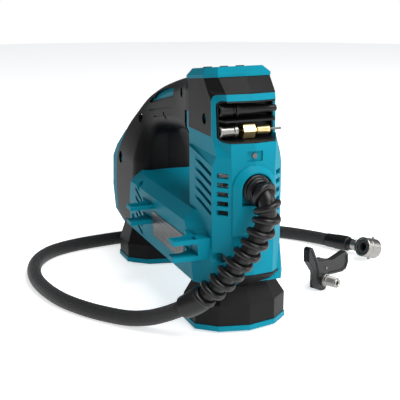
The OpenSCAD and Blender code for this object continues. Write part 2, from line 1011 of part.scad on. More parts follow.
module hose() {
    color([0.06, 0.06, 0.07]) tube(HOSE_ROUTE, 0, len(HOSE_ROUTE) - 1, hose_d / 2, hose_sides);
}

// Spiral guard over the first stretch of the hose, as a plain sleeve
module spiral_guard() {
    n = hose_sides;
    m = guard_last + 1;
    inner = n * m;
    outside = [for (i = [0:guard_last]) each tube_ring(HOSE_ROUTE, i, guard_d / 2 - 0.5, n)];
    inside = [for (i = [0:guard_last]) each tube_ring(HOSE_ROUTE, i, hose_d / 2 + 0.1, n)];
    walls = [for (i = [0:m - 2], j = [0:n - 1]) let (a = i * n + j, b = i * n + (j + 1) % n)
        each [[a, a + n, b], [b, a + n, b + n],
            [inner + b, inner + a + n, inner + a], [inner + b + n, inner + a + n, inner + b]]];
    ends = [for (j = [0:n - 1]) let (k = (j + 1) % n, t = inner - n)
        each [[j, k, inner + j], [inner + j, k, inner + k],
            [t + k, t + j, inner + t + j], [t + k, inner + t + j, inner + t + k]]];
    color(black) polyhedron(points = concat(outside, inside), faces = concat(walls, ends));
}

// Places the children with +Z along the hose's last stretch
module at_hose_end() {
    n = len(HOSE_ROUTE);
    a = HOSE_ROUTE[n - 1];
    d = route_dir(HOSE_ROUTE, n - 1);
    translate(a)
        rotate([0, acos(d[2]), atan2(d[1], d[0])])
            children();
}

module hose_sleeve() {
    color(black)
        at_hose_end() {
            cylinder(h = 24, r = 6.6);
            translate([0, 0, 24])
                cylinder(h = 4, r = 5.4);
        }
}

// Places the children with +Z from the mouth of the chuck towards its back
module at_chuck() {
    translate(chuck_mouth)
        rotate([0, 90 + chuck_dip, chuck_turn])
            children();
}

module chuck_body() {
    color(nickel)
        difference() {
            union() {
                at_chuck() {
                    cylinder(h = 17.5, r = 9);
                    translate([0, 0, 17.5])
                        cylinder(h = 2, r1 = 9, r2 = 7.4);
                    translate([0, 0, 13])
                        rotate([0, 90, 0])
                            cylinder(h = 21, r = 1.3, center = true);
                }
                at_hose_end()
                    translate([0, 0, 28])
                        cylinder(h = 20, r = 5);
            }
            at_chuck()
                translate([0, 0, -1])
                    cylinder(h = 11, r = 6.6);
        }
}

module chuck_seal() {
    color(black)
        at_chuck()
            translate([0, 0, 1])
                difference() {
                    cylinder(h = 8, r = 6.6);
                    translate([0, 0, -1])
                        cylinder(h = 12, r = 3.9);
                }
}

// Places the children in the valve clip's own frame: X along its nozzle, Y across the wings
module at_clip() {
    translate(clip_origin)
        rotate([0, 0, clip_turn])
            children();
}

module clip_wing(points, x0, x1) {
    translate([x0, 0, 0])
        rotate([90, 0, 90])
            linear_extrude(height = x1 - x0)
                polygon(points);
}

module clip_body() {
    color(black)
        at_clip()
            difference() {
                union() {
                    clip_wing([[-4, 0], [3, 0], [5.5, 5], [5.5, 14], [8, 18], [8, 24], [3, 26],
                        [-4, 26], [-12, 38], [-15.5, 37.5], [-15, 24], [-8, 14]], -6, 0);
                    x_rod(0, 2.2, 0, 9.5, 5.5);
                }
                x_rod(-10, 10, clip_pin_y, clip_pin_z, 1.5);
                x_rod(-4.1, 10, 0, 9.5, 3 + fit_gap);
            }
}

module clip_lever() {
    color(black)
        at_clip()
            difference() {
                clip_wing([[-3, 0], [1, 0], [8, 6], [9, 13], [14, 15], [26, 15], [29, 19], [29, 33],
                    [26, 34], [8, 25], [-1, 25], [-3, 20]], -12.2, -6.3);
                x_rod(-20, 10, clip_pin_y, clip_pin_z, 1.5 + fit_gap);
            }
}

module clip_pin() {
    color(steel) at_clip() x_rod(-12.8, 0.6, clip_pin_y, clip_pin_z, 1.5);
}

module clip_spring() {
    color(steel)
        at_clip()
            difference() {
                x_rod(-15, -12.6, clip_pin_y, clip_pin_z, 3.4);
                x_rod(-16, -12, clip_pin_y, clip_pin_z, 2.4);
            }
}

module clip_nozzle() {
    color(nickel)
        at_clip()
            difference() {
                union() {
                    x_rod(-4, 2.2, 0, 9.5, 3);
                    x_rod(2.2, 4.2, 0, 9.5, 5);
                    x_rod(4.2, 14, 0, 9.5, 4);
                }
                x_rod(5, 20, 0, 9.5, 1.8);
            }
}

module housing_screws() {
    color(steel)
        for (s = SCREWS) {
            y_rod(s[0], s[2] - 2.5, s[2], s[1], 3);
            y_rod(s[0], s[2] - 0.1, s[3], s[1], 1.5);
        }
}

module front_screw() {
    color(steel) {
        x_rod(33.6, 34.8, 0, 135.5, 2);
        x_rod(28, 33.7, 0, 135.5, 1.5);
    }
}

module rating_plate() {
    color([0.25, 0.26, 0.28])
        translate([-84, -half_body - 0.6, 48])
            cube([74, 0.6, 20.5]);
}

housing_right();
housing_left();
grip_right();
grip_left();
head_wrap_right();
head_wrap_left();
display_cap();
display_lens();
display_board();
power_button();
plus_button();
minus_button();
front_boot();
rear_boot();
foot_pads();
accessory_tray();
tapered_nozzle();
valve_adapter();
needle_adapter();
ball_needle();
trigger();
trigger_pin();
trigger_spring();
lock_button();
switch_body();
battery_terminal();
controller_board();
motor_can();
motor_magnets();
motor_armature();
motor_shaft();
cooling_fan();
drive_pinion();
crank_gear();
crank_pin();
gear_axle();
pump_frame();
pump_cylinder();
cylinder_head();
piston_rod();
piston();
piston_seal();
air_tube();
hose_fitting();
hose_elbow();
spiral_guard();
hose();
hose_sleeve();
chuck_body();
chuck_seal();
clip_body();
clip_lever();
clip_pin();
clip_spring();
clip_nozzle();
housing_screws();
front_screw();
rating_plate();
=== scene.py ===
import json
import math

import bmesh
import bpy
import numpy as np
from mathutils import Matrix, Vector


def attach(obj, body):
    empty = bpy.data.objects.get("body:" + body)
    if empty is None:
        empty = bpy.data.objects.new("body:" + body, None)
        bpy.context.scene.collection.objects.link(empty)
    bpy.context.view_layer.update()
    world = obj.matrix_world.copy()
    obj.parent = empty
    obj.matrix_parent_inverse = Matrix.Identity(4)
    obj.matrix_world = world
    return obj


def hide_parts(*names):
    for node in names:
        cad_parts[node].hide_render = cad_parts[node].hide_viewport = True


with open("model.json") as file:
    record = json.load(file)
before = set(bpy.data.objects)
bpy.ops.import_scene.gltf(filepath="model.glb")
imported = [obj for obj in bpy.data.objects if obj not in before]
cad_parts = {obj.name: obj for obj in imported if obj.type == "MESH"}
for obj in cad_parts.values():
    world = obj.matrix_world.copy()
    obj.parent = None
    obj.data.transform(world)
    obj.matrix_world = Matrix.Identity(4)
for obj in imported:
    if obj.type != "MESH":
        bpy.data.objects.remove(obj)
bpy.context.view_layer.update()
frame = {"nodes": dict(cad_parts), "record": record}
nodes = frame["nodes"]
MM = 0.001
scene = bpy.context.scene
scene.view_settings.view_transform = "Standard"


# ---------------------------------------------------------------- camera, light and world
def axes(right, up, back, at):
    m = Matrix.Identity(4)
    for i, v in enumerate((right, up, back)):
        for k in range(3):
            m[k][i] = v[k]
    m.translation = at
    return m


cam_data = bpy.data.cameras.new("camera")
cam_data.lens = 83.8
cam_data.sensor_width = 36
cam_data.clip_start = 0.01
cam = bpy.data.objects.new("camera", cam_data)
scene.collection.objects.link(cam)
cam.matrix_world = axes((0.3633, 0.9317, 0), (-0.2365, 0.0922, 0.9673), (0.9012, -0.3514, 0.2538),
                        (0.6196, -0.2696, 0.2720))
scene.camera = cam


def area_light(name, at, target, size, power, color=(1, 1, 1)):
    data = bpy.data.lights.new(name, "AREA")
    data.shape = "RECTANGLE"
    data.size, data.size_y = size
    data.energy = power
    data.color = color
    o = bpy.data.objects.new(name, data)
    scene.collection.objects.link(o)
    o.location = at
    o.rotation_mode = "QUATERNION"
    o.rotation_quaternion = (Vector(target) - Vector(at)).to_track_quat("-Z", "Y")
    return o


area_light("key", (0.55, 0.35, 1.25), (-0.05, 0, 0.1), (0.9, 0.9), 24)
area_light("side", (-0.1, -1.2, 0.7), (-0.05, 0, 0.08), (0.8, 0.6), 0.8)
area_light("front", (1.3, 0.1, 0.55), (0, 0, 0.1), (0.6, 0.6), 6)
area_light("rim", (0.35, 1.2, 0.5), (-0.05, 0, 0.1), (0.7, 0.7), 7)

world = bpy.data.worlds.new("studio")
world.use_nodes = True
scene.world = world
wt = world.node_tree
wt.nodes.clear()
w_out = wt.nodes.new("ShaderNodeOutputWorld")
w_mix = wt.nodes.new("ShaderNodeMixShader")
w_path = wt.nodes.new("ShaderNodeLightPath")
w_soft = wt.nodes.new("ShaderNodeBackground")
w_soft.inputs["Color"].default_value = (0.92, 0.95, 1, 1)
w_soft.inputs["Strength"].default_value = 0.24
w_white = wt.nodes.new("ShaderNodeBackground")
w_white.inputs["Color"].default_value = (1, 1, 1, 1)
w_white.inputs["Strength"].default_value = 1.0
wt.links.new(w_path.outputs["Is Camera Ray"], w_mix.inputs[0])
wt.links.new(w_soft.outputs[0], w_mix.inputs[1])
wt.links.new(w_white.outputs[0], w_mix.inputs[2])
wt.links.new(w_mix.outputs[0], w_out.inputs[0])


# ---------------------------------------------------------------- materials
ROUGH_SPREAD = 0.06
GRAIN_DEPTH = 0.3 * MM
STRAND_DEPTH = 0.4 * MM
STRANDS_ROUND, STRANDS_PER_M = 24, 640


def material(name, base, rough, vary=0.12, grain=900, bump=0.12, mottle=60, metallic=0.0, spec=0.5,
             coat=0.0, sheen=0.0):
    """A shader with a mottled colour, an uneven roughness and a fine grain."""
    m = bpy.data.materials.new(name)
    m.use_nodes = True
    t = m.node_tree
    b = t.nodes["Principled BSDF"]
    b.inputs["Metallic"].default_value = metallic
    b.inputs["Specular IOR Level"].default_value = spec
    b.inputs["Coat Weight"].default_value = coat
    b.inputs["Coat Roughness"].default_value = 0.25
    b.inputs["Sheen Weight"].default_value = sheen
    b.inputs["Sheen Roughness"].default_value = 0.4
    tc = t.nodes.new("ShaderNodeTexCoord")
    big = t.nodes.new("ShaderNodeTexNoise")
    big.inputs["Scale"].default_value = mottle
    big.inputs["Detail"].default_value = 4
    t.links.new(tc.outputs["Object"], big.inputs["Vector"])
    ramp = t.nodes.new("ShaderNodeValToRGB")
    ramp.color_ramp.elements[0].position = 0.3
    ramp.color_ramp.elements[1].position = 0.7
    ramp.color_ramp.elements[0].color = [c * (1 - vary) for c in base] + [1]
    ramp.color_ramp.elements[1].color = [min(1, c * (1 + vary)) for c in base] + [1]
    t.links.new(big.outputs["Fac"], ramp.inputs[0])
    t.links.new(ramp.outputs[0], b.inputs["Base Color"])
    fine = t.nodes.new("ShaderNodeTexNoise")
    fine.inputs["Scale"].default_value = grain
    fine.inputs["Detail"].default_value = 3
    t.links.new(tc.outputs["Object"], fine.inputs["Vector"])
    rr = t.nodes.new("ShaderNodeMapRange")
    rr.inputs["To Min"].default_value = rough - ROUGH_SPREAD
    rr.inputs["To Max"].default_value = rough + ROUGH_SPREAD
    t.links.new(fine.outputs["Fac"], rr.inputs["Value"])
    t.links.new(rr.outputs[0], b.inputs["Roughness"])
    bp = t.nodes.new("ShaderNodeBump")
    bp.inputs["Strength"].default_value = bump
    bp.inputs["Distance"].default_value = GRAIN_DEPTH
    t.links.new(fine.outputs["Fac"], bp.inputs["Height"])
    t.links.new(bp.outputs[0], b.inputs["Normal"])
    return m


def braid_material(name, base, across, along):
    """Two families of slanted strands over and under each other, laid out on the tube's own UV map."""
    m = material(name, base, 0.5, vary=0.25, grain=2500, bump=0.1, sheen=0.12, spec=0.3)
    t = m.node_tree
    b = t.nodes["Principled BSDF"]
    uv = t.nodes.new("ShaderNodeUVMap")
    uv.uv_map = "tube"
    sep = t.nodes.new("ShaderNodeSeparateXYZ")
    t.links.new(uv.outputs[0], sep.inputs[0])

    def math_node(op, a, c=None):
        n = t.nodes.new("ShaderNodeMath")
        n.operation = op
        for i, v in enumerate((a, c)):
            if v is None:
                continue
            if isinstance(v, (int, float)):
                n.inputs[i].default_value = v
            else:
                t.links.new(v, n.inputs[i])
        return n.outputs[0]

    u = math_node("MULTIPLY", sep.outputs[0], across)
    v = math_node("MULTIPLY", sep.outputs[1], along)
    p = math_node("ADD", u, v)
    q = math_node("SUBTRACT", u, v)
    sp = math_node("ABSOLUTE", math_node("SINE", math_node("MULTIPLY", p, math.pi)))
    sq = math_node("ABSOLUTE", math_node("SINE", math_node("MULTIPLY", q, math.pi)))
    both = math_node("ADD", math_node("FLOOR", p), math_node("FLOOR", q))
    over = math_node("FLOORED_MODULO", both, 2.0)
    pick = t.nodes.new("ShaderNodeMix")
    pick.data_type = "FLOAT"
    t.links.new(over, pick.inputs[0])
    t.links.new(sp, pick.inputs[2])
    t.links.new(sq, pick.inputs[3])
    height = math_node("POWER", pick.outputs[0], 0.6)
    bp = t.nodes.new("ShaderNodeBump")
    bp.inputs["Strength"].default_value = 0.9
    bp.inputs["Distance"].default_value = STRAND_DEPTH
    t.links.new(height, bp.inputs["Height"])
    t.links.new(bp.outputs[0], b.inputs["Normal"])
    # Painted shade and painted highlight: the colour follows the strand height, darker in the gaps between
    # strands and lighter on the strand crowns.
    ramp = t.nodes.new("ShaderNodeValToRGB")
    ramp.color_ramp.elements[0].color = [c * 0.35 for c in base] + [1]
    ramp.color_ramp.elements[1].color = [c * 1.25 for c in base] + [1]
    t.links.new(height, ramp.inputs[0])
    t.links.new(ramp.outputs[0], b.inputs["Base Color"])
    return m


MAT = {
    "teal_shell": material("teal_plastic", (0.001, 0.175, 0.245), 0.46, vary=0.05, grain=1800, bump=0.08,
                           spec=0.07),
    "soft_grip": material("soft_elastomer", (0.004, 0.0037, 0.004), 0.46, vary=0.15, grain=2600, bump=0.14,
                          spec=0.13),
    "foot_rubber": material("foot_rubber", (0.012, 0.012, 0.013), 0.7, grain=1500, bump=0.3),
    "black_plastic": material("black_plastic", (0.004, 0.004, 0.0045), 0.36, grain=1800, bump=0.08,
                              spec=0.25),
    "lens": material("lens", (0.02, 0.03, 0.035), 0.1, grain=300, bump=0.0, coat=0.5),
    "board": material("board", (0.02, 0.12, 0.05), 0.45, mottle=400, vary=0.4),
    "nickel": material("satin_nickel", (0.27, 0.262, 0.248), 0.34, vary=0.05, grain=1200, bump=0.05,
                       metallic=1.0),
    "brass": material("turned_brass", (0.76, 0.60, 0.30), 0.36, vary=0.06, grain=1200, bump=0.08,
                      metallic=1.0),
    "steel": material("steel", (0.13, 0.13, 0.13), 0.45, vary=0.08, grain=900, bump=0.1, metallic=1.0),
    "magnet": material("magnet", (0.06, 0.06, 0.065), 0.6, grain=600),
    "copper": material("winding", (0.35, 0.13, 0.05), 0.35, grain=700, bump=0.3, metallic=0.4),
    "gear_plastic": material("gear_plastic", (0.62, 0.60, 0.54), 0.4, vary=0.04),
    "alloy": material("cast_alloy", (0.5, 0.5, 0.51), 0.42, grain=500, bump=0.3, metallic=1.0),
    "silicone": material("silicone", (0.6, 0.59, 0.55), 0.5, vary=0.05),
    "guard_rubber": material("guard_rubber", (0.0035, 0.0035, 0.004), 0.34, vary=0.12, grain=1500, bump=0.10,
                             spec=0.28),
    "braid": braid_material("woven_braid", (0.0045, 0.0045, 0.005), STRANDS_ROUND, STRANDS_PER_M),
    "plate": material("plate", (0.055, 0.057, 0.06), 0.35, vary=0.1),
}
SLOT_OF = {s["node"]: s["material_slot"] for s in frame["record"]["subparts"]}


def dress(o, mat):
    o.data.materials.clear()
    o.data.materials.append(mat)


def crisp(o, width, angle):
    """Welds, joins coplanar faces and rounds the edges of a part that keeps its CAD shape."""
    w = o.modifiers.new("weld", "WELD")
    w.merge_threshold = 2e-6
    d = o.modifiers.new("planar", "DECIMATE")
    d.decimate_type = "DISSOLVE"
    d.angle_limit = math.radians(0.6)
    b = o.modifiers.new("edges", "BEVEL")
    b.width = width * MM
    b.segments = 2
    b.limit_method = "ANGLE"
    b.angle_limit = math.radians(angle)
    for p in o.data.polygons:
        p.use_smooth = True
    wn = o.modifiers.new("normals", "WEIGHTED_NORMAL")
    wn.keep_sharp = True
    wn.weight = 80


for name, o in nodes.items():
    dress(o, MAT[SLOT_OF[name]])
    if "custom_normal" in o.data.attributes:
        o.data.attributes.remove(o.data.attributes["custom_normal"])


# ---------------------------------------------------------------- mesh helpers
def solid(name, verts, faces):
    """A mesh object in the row frame from points in millimetres."""
    me = bpy.data.meshes.new(name)
    me.from_pydata([[c * MM for c in v] for v in verts], [], faces)
    bm = bmesh.new()
    bm.from_mesh(me)
    bmesh.ops.recalc_face_normals(bm, faces=bm.faces)
    bm.to_mesh(me)
    bm.free()
    o = bpy.data.objects.new(name, me)
    scene.collection.objects.link(o)
    return o


def carve(o, cuts):
    """Takes each cutter, given as vertices and faces in millimetres, out of the object's mesh for good."""
    tools = []
    for i, (v, f) in enumerate(cuts):
        tool = solid("cutter", v, f)
        tools.append(tool)
        m = o.modifiers.new("cut%d" % i, "BOOLEAN")
        m.operation = "DIFFERENCE"
        m.solver = "EXACT"
        m.object = tool
    bpy.context.view_layer.update()
    done = bpy.data.meshes.new_from_object(o.evaluated_get(bpy.context.evaluated_depsgraph_get()))
    o.modifiers.clear()
    name, old = o.data.name, o.data
    o.data = done
    bpy.data.meshes.remove(old)
    done.name = name
    for tool in tools:
        data = tool.data
        bpy.data.objects.remove(tool)
        bpy.data.meshes.remove(data)


def piece(name, verts, faces, slot, body, replaces=(), smooth=True, bevel=0, angle=30, cuts=()):
    """A visible piece on a body, in place of the CAD nodes that it replaces."""
    o = solid(name, verts, faces)
    if cuts:
        carve(o, cuts)
    me = o.data
    dress(o, MAT[slot])
    for p in me.polygons:
        p.use_smooth = smooth
    if bevel:
        b = o.modifiers.new("edges", "BEVEL")
        b.width = bevel * MM
        b.segments = 2
        b.limit_method = "ANGLE"
        b.angle_limit = math.radians(angle)
    if smooth:
        me.set_sharp_from_angle(angle=math.radians(angle if not bevel else 50))
        wn = o.modifiers.new("normals", "WEIGHTED_NORMAL")
        wn.keep_sharp = True
    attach(o, body)
    if replaces:
        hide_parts(*replaces)
    return o


def loft(rings, caps=True):
    """Rings of as many points each, joined in turn and closed at both ends by caps."""
    n = len(rings[0])
    verts = [p for r in rings for p in r]
    faces = []
    for i in range(len(rings) - 1):
        for j in range(n):
            a, b = i * n + j, i * n + (j + 1) % n
            faces.append((a, b, b + n, a + n))
    if caps:
        faces.append(tuple(range(n - 1, -1, -1)))
        faces.append(tuple((len(rings) - 1) * n + j for j in range(n)))
    return verts, faces


def merge(*parts):
    verts, faces = [], []
    for v, f in parts:
        k = len(verts)
        verts += list(v)
        faces += [tuple(i + k for i in q) for q in f]
    return verts, faces


def smooth_path(points, per=6):
    """A Catmull-Rom curve through the points."""
    p = [np.array(q, float) for q in points]
    p = [2 * p[0] - p[1]] + p + [2 * p[-1] - p[-2]]
    out = []
    for i in range(1, len(p) - 2):
        for k in range(per):
            t = k / per
            out.append(0.5 * (2 * p[i] + (p[i + 1] - p[i - 1]) * t
                              + (2 * p[i - 1] - 5 * p[i] + 4 * p[i + 1] - p[i + 2]) * t * t
                              + (3 * p[i] - p[i - 1] - 3 * p[i + 1] + p[i + 2]) * t ** 3))
    out.append(p[-2])
    return np.array(out)


def frames(path):
    """Tangents and two normals that turn as little as possible along a path."""
    t = np.gradient(path, axis=0)
    t /= np.linalg.norm(t, axis=1)[:, None]
    n = np.zeros_like(t)
    n[0] = np.cross([0.0, 1.0, 0.0], t[0])
    if np.linalg.norm(n[0]) < 0.1:
        n[0] = np.cross([1.0, 0.0, 0.0], t[0])
    n[0] /= np.linalg.norm(n[0])
    for i in range(1, len(t)):
        v = n[i - 1] - t[i] * np.dot(n[i - 1], t[i])
        n[i] = v / np.linalg.norm(v)
    return t, n, np.cross(t, n)


def length_along(path):
    return np.concatenate([[0], np.cumsum(np.linalg.norm(np.diff(path, axis=0), axis=1))])


def sweep(path, radii, sides):
    """A round tube of varying radius, with its ends closed."""
    _, n, b = frames(path)
    turn = [2 * math.pi * k / sides for k in range(sides)]
    return loft([[c + r * (math.cos(a) * n[i] + math.sin(a) * b[i]) for a in turn]
                 for i, (c, r) in enumerate(zip(path, radii))])


def lathe(profile, sides, at, axis):
    """A turned form: profile is rows of height and radius along the axis from at."""
    z = Vector(axis).normalized()
    x = z.orthogonal().normalized()
    y = z.cross(x)
    rings = []
    for h, r in profile:
        c = Vector(at) + z * h
        rings.append([tuple(c + max(r, 0.001) * (math.cos(a) * x + math.sin(a) * y))
                      for a in (2 * math.pi * k / sides for k in range(sides))])
    return loft(rings)


def box(x0, x1, y0, y1, z0, z1):
    return loft([[(x0, y0, z), (x1, y0, z), (x1, y1, z), (x0, y1, z)] for z in (z0, z1)])


def prism_y(points, y0, y1):
    """A prism along Y over points given as x and z."""
    return loft([[(x, y, z) for x, z in points] for y in (y0, y1)])


def drill_y(x, z, r, y0, y1, sides=32):
    return lathe([(0, r), (abs(y1 - y0), r)], sides, at=(x, y0, z), axis=(0, 1 if y1 > y0 else -1, 0))


# ---------------------------------------------------------------- hose
HOSE_ROUTE = [
    (57, 0, 102), (57, 0, 97), (56.7, -2.5, 90), (55, -6, 82), (53, -10, 74), (50, -15, 66),
    (47, -20, 58), (44, -25, 51), (40, -31, 43.5), (35, -38, 36), (29, -45, 29), (21, -53, 22.5),
    (12, -61, 16.5), (1, -70, 11), (-12, -81, 7.5), (-28, -93, 6.2), (-47, -106, 6), (-72, -118, 6),
    (-101, -125, 6), (-130, -127, 6), (-158, -123, 6), (-182, -113, 6), (-200, -97, 6),
    (-211, -74, 6), (-217, -45, 6), (-220, -12, 6), (-221, 25, 6), (-217, 60, 6), (-206, 90, 6),
    (-190, 115, 6), (-172, 134, 6.2), (-154, 147, 6.6), (-134, 156.5, 7.6)]
HOSE_D = 12
route = smooth_path(HOSE_ROUTE, 8)


def tube_piece(name, path, radius, sides, slot, body):
    """A tube whose mesh has a seam, so that its UV map runs round and along without a jump."""
    _, n, b = frames(path)
    along = length_along(path)
    verts, faces, uv = [], [], []
    for i, c in enumerate(path):
        for k in range(sides + 1):
            a = 2 * math.pi * k / sides
            verts.append(c + radius * (math.cos(a) * n[i] + math.sin(a) * b[i]))
            uv.append((k / sides, along[i] * MM))
    w = sides + 1
    for i in range(len(path) - 1):
        for k in range(sides):
            faces.append((i * w + k, i * w + k + 1, (i + 1) * w + k + 1, (i + 1) * w + k))
    for i, flip in ((0, True), (len(path) - 1, False)):
        ring = [i * w + k for k in range(sides)]
        faces.append(tuple(reversed(ring)) if flip else tuple(ring))
    me = bpy.data.meshes.new(name)
    me.from_pydata([[c * MM for c in v] for v in verts], [], faces)
    layer = me.uv_layers.new(name="tube")
    for poly in me.polygons:
        for li in poly.loop_indices:
            layer.data[li].uv = uv[me.loops[li].vertex_index]
    bm = bmesh.new()
    bm.from_mesh(me)
    bmesh.ops.remove_doubles(bm, verts=bm.verts, dist=1e-7)
    bmesh.ops.recalc_face_normals(bm, faces=bm.faces)
    bm.to_mesh(me)
    bm.free()
    o = bpy.data.objects.new(name, me)
    scene.collection.objects.link(o)
    dress(o, MAT[slot])
    for p in me.polygons:
        p.use_smooth = len(p.vertices) < 6
    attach(o, body)
    return o


hose = tube_piece("braided_hose", route, HOSE_D / 2, 28, "braid", "housing")
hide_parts("hose")

# ---------------------------------------------------------------- spiral guard and outlet collar
bend = [(47 + 10 * math.sin(a), 0, 102 + 10 * math.cos(a)) for a in (0, 0.4, 0.8, 1.2)]
guard_path = smooth_path([(40, 0, 112), (44, 0, 112)] + bend + HOSE_ROUTE[:13], 16)
guard_along = length_along(guard_path)


def on_path(path, along, s):
    return np.array([np.interp(s, along, path[:, k]) for k in range(3)])


def helix(path, s0, s1, pitch, radius, wire, turn0, per_turn=36, sides=14):
    """A round wire wound on a path, from one length along it to another."""
    along = length_along(path)
    _, n, b = frames(path)
    count = int((s1 - s0) / pitch * per_turn) + 1
    line = []
    for i in range(count):
        s = s0 + (s1 - s0) * i / (count - 1)
        c = on_path(path, along, s)
        nn = np.array([np.interp(s, along, n[:, k]) for k in range(3)])
        bb = np.array([np.interp(s, along, b[:, k]) for k in range(3)])
        a = turn0 + 2 * math.pi * (s - s0) / pitch
        line.append(c + radius * (math.cos(a) * nn + math.sin(a) * bb))
    return sweep(np.array(line), [wire] * count, sides)


GUARD_START = 4.0
GUARD_PITCH, GUARD_RADIUS, GUARD_WIRE = 9.35, 7.45, 2.5
helix_mesh = helix(guard_path, GUARD_START + 3.5, GUARD_START + 103.0, GUARD_PITCH, GUARD_RADIUS,
                   GUARD_WIRE, 0.6)
collar_path = np.array([on_path(guard_path, guard_along, GUARD_START + k)
                        for k in (99.5, 100.4, 102, 104, 108, 112, 116, 119, 120.2, 120.8)])
end_collar = sweep(collar_path, [7.2, 8.6, 9.4, 9.7, 9.6, 9.3, 8.9, 8.6, 8.2, 7.2], 40)
# A dark rubber sleeve over the hose inside the coil: painted shade, put there for the dark between the
# guard's coils.
painted_shade_sleeve_path = np.array([on_path(guard_path, guard_along, k)
                        for k in np.linspace(GUARD_START + 1, GUARD_START + 100, 90)])
painted_shade_sleeve = sweep(painted_shade_sleeve_path, [6.35] * len(painted_shade_sleeve_path), 32)
piece("spiral_strain_guard", *merge(helix_mesh, end_collar, painted_shade_sleeve), "guard_rubber", "housing",
      replaces=("spiral_guard",), angle=40)
core_path = np.array([on_path(guard_path, guard_along, k) for k in np.linspace(1.0, 21.5, 16)])
core = sweep(core_path, [6.1] * len(core_path), 32)
collar = lathe([(0, 10.2), (0.3, 10.6), (3.2, 10.6), (3.6, 10.1), (4.2, 10.1), (4.4, 9.6), (6.6, 9.6),
                (7.0, 9.1), (7.6, 9.1), (7.8, 8.6), (9.4, 8.4), (10.0, 7.8)], 56, at=(36.9, 0, 112),
                axis=(1, 0, 0))
piece("hose_outlet_collar", *merge(core, collar), "guard_rubber", "housing", replaces=("hose_elbow",),
      angle=35)

# ---------------------------------------------------------------- soft grips
# Rows along the grip: outer x, outer z, inner x, inner z, half width, inner corner, outer corner, dish
GRIP = [
    (-205, 29.5, -152, 29.5, 28, 9, 9, 0), (-221, 38, -147.5, 38, 31, 12, 10, 0),
    (-229, 60, -146, 60, 31, 14, 10, 0.6),
    (-230, 88, -147, 86, 30, 15, 10, 1.4), (-221.5, 99.5, -148, 96, 29.4, 14, 10, 1.5),
    (-205, 116.5, -149.5, 106, 26.5, 12, 11, 1.4), (-186, 133.5, -150, 115, 22.5, 11, 11, 1.2),
    (-165, 151, -147.5, 122, 18.6, 11, 12, 0.8), (-140, 162.4, -136, 127, 16.6, 12, 12.5, 0.2),
    (-112, 171, -110, 131.7, 16, 12, 13, 0), (-78, 178.6, -78, 134.7, 16.6, 12, 12.5, 0),
    (-52, 181.8, -52, 136.7, 20.6, 10, 11, 0), (-44, 182.3, -44, 135.7, 23.6, 10, 10, 0),
    (-31, 182.7, -31, 133.7, 24.9, 9, 9, 0)]
SKIN = 1.9
# Row of the smoothed grip at which the teal shell under the skin starts, behind its window
SHELL_ROW = 42


def grip_half(side, outer=0, inner=SKIN, first=0):
    """Half of the grip's skin, between two depths under its outside."""
    half = []
    for ox, oz, ix, iz, w, ri, ro, dish in smooth_path(GRIP, 6)[first:]:
        e = np.array([ox - ix, 0, oz - iz])
        reach = np.linalg.norm(e)
        e /= reach
        base = np.array([ix, 0, iz])

        def line(g):
            pts = [(g + dish, 0.12), (g + 0.75 * dish, 0.45 * (w - ri)), (g, w - ri)]
            pts += [(ri - (ri - g) * math.cos(a), w - ri + (ri - g) * math.sin(a))
                    for a in (math.pi / 2 * k / 7 for k in range(1, 8))]
            pts += [(0.5 * reach, w - g)]
            pts += [(reach - ro + (ro - g) * math.sin(a), w - ro + (ro - g) * math.cos(a))
                    for a in (math.pi / 2 * k / 7 for k in range(0, 8))]
            pts += [(reach - g, 0.45 * (w - ro)), (reach - g, 0.12)]
            return [tuple(base + a * e + np.array([0, side * y, 0])) for a, y in pts]
        half.append((line(outer), line(inner)))
    m = len(half[0][0])
    rings = [a + b[::-1] for a, b in half]
    verts, faces = loft(rings, caps=False)
    n = 2 * m
    for i, flip in ((0, False), (len(rings) - 1, True)):
        for k in range(m - 1):
            q = (i * n + k, i * n + k + 1, i * n + n - 2 - k, i * n + n - 1 - k)
            faces.append(q[::-1] if flip else q)
    return verts, faces


WINDOW = [(-150.5, 148.2), (-143, 153.6), (-139, 153.2), (-137.6, 156.6), (-132.5, 159.4), (-119, 163.5),
          (-104, 166.6), (-90, 167.6), (-91.3, 161.4), (-104, 158.6), (-128, 153.2)]
RIM = [(-187, 20), (-187, 28.5), (-204, 37.3), (-210, 59.3), (-211, 87.3), (-204, 99.3), (-193, 115.3),
       (-184, 131.3),
       (-196, 150), (-270, 150), (-270, 20)]
TAB = [(-20, 158.8), (-38, 158.6), (-46, 157), (-50.5, 153), (-51.5, 147), (-49.5, 142), (-45, 137.5),
       (-38, 131),
       (-20, 126)]


TRIGGER_SPACE = box(-82.4, -33.7, -7.6, 7.6, 120, 146)
# Screw holes: x, z, radius, and the depth they reach as a distance from the middle
HOLES = [(-66, 168, 4, 6), (-165.5, 132.3, 4, 13), (-198.8, 90.7, 5.6, 16)]


def grip_cuts(side):
    cuts = [TRIGGER_SPACE, prism_y(RIM, -60, 60), box(-260, -217, -22, 22, 42, 132)]
    near, deep = side * 30, side * 8
    cuts.append(prism_y(WINDOW, near, deep))
    cuts.append(prism_y(TAB, near, side * 10))
    for x, z, r, y in HOLES:
        cuts.append(drill_y(x, z, r, side * 50, side * y))
    if side > 0:
        cuts.append(drill_y(-58, 160, 4.3, 50, 4))
    # Grooves of the finger panel
    for x0, z0, x1, z1 in ((-147.4, 148.3, -89.3, 161.3), (-149.3, 141.3, -96.5, 151.6),
                           (-140, 137.1, -96.6, 145.4), (-132.4, 132.8, -93.9, 140.1)):
        bar = [(x0, z0 - 0.5), (x1, z1 - 0.5), (x1, z1 + 0.5), (x0, z0 + 0.5)]
        cuts.append(prism_y(bar, side * 30, side * (16.15 - 0.9)))
    # A short zig-zag slot between two grooves
    zig = [(-117.6, 144.4), (-114.6, 145), (-113, 142), (-110.6, 141.8), (-107, 137.4), (-109.6, 137.8),
           (-114.2, 140.8), (-116, 141)]
    cuts.append(prism_y(zig, side * 30, side * 14.9))
    return cuts


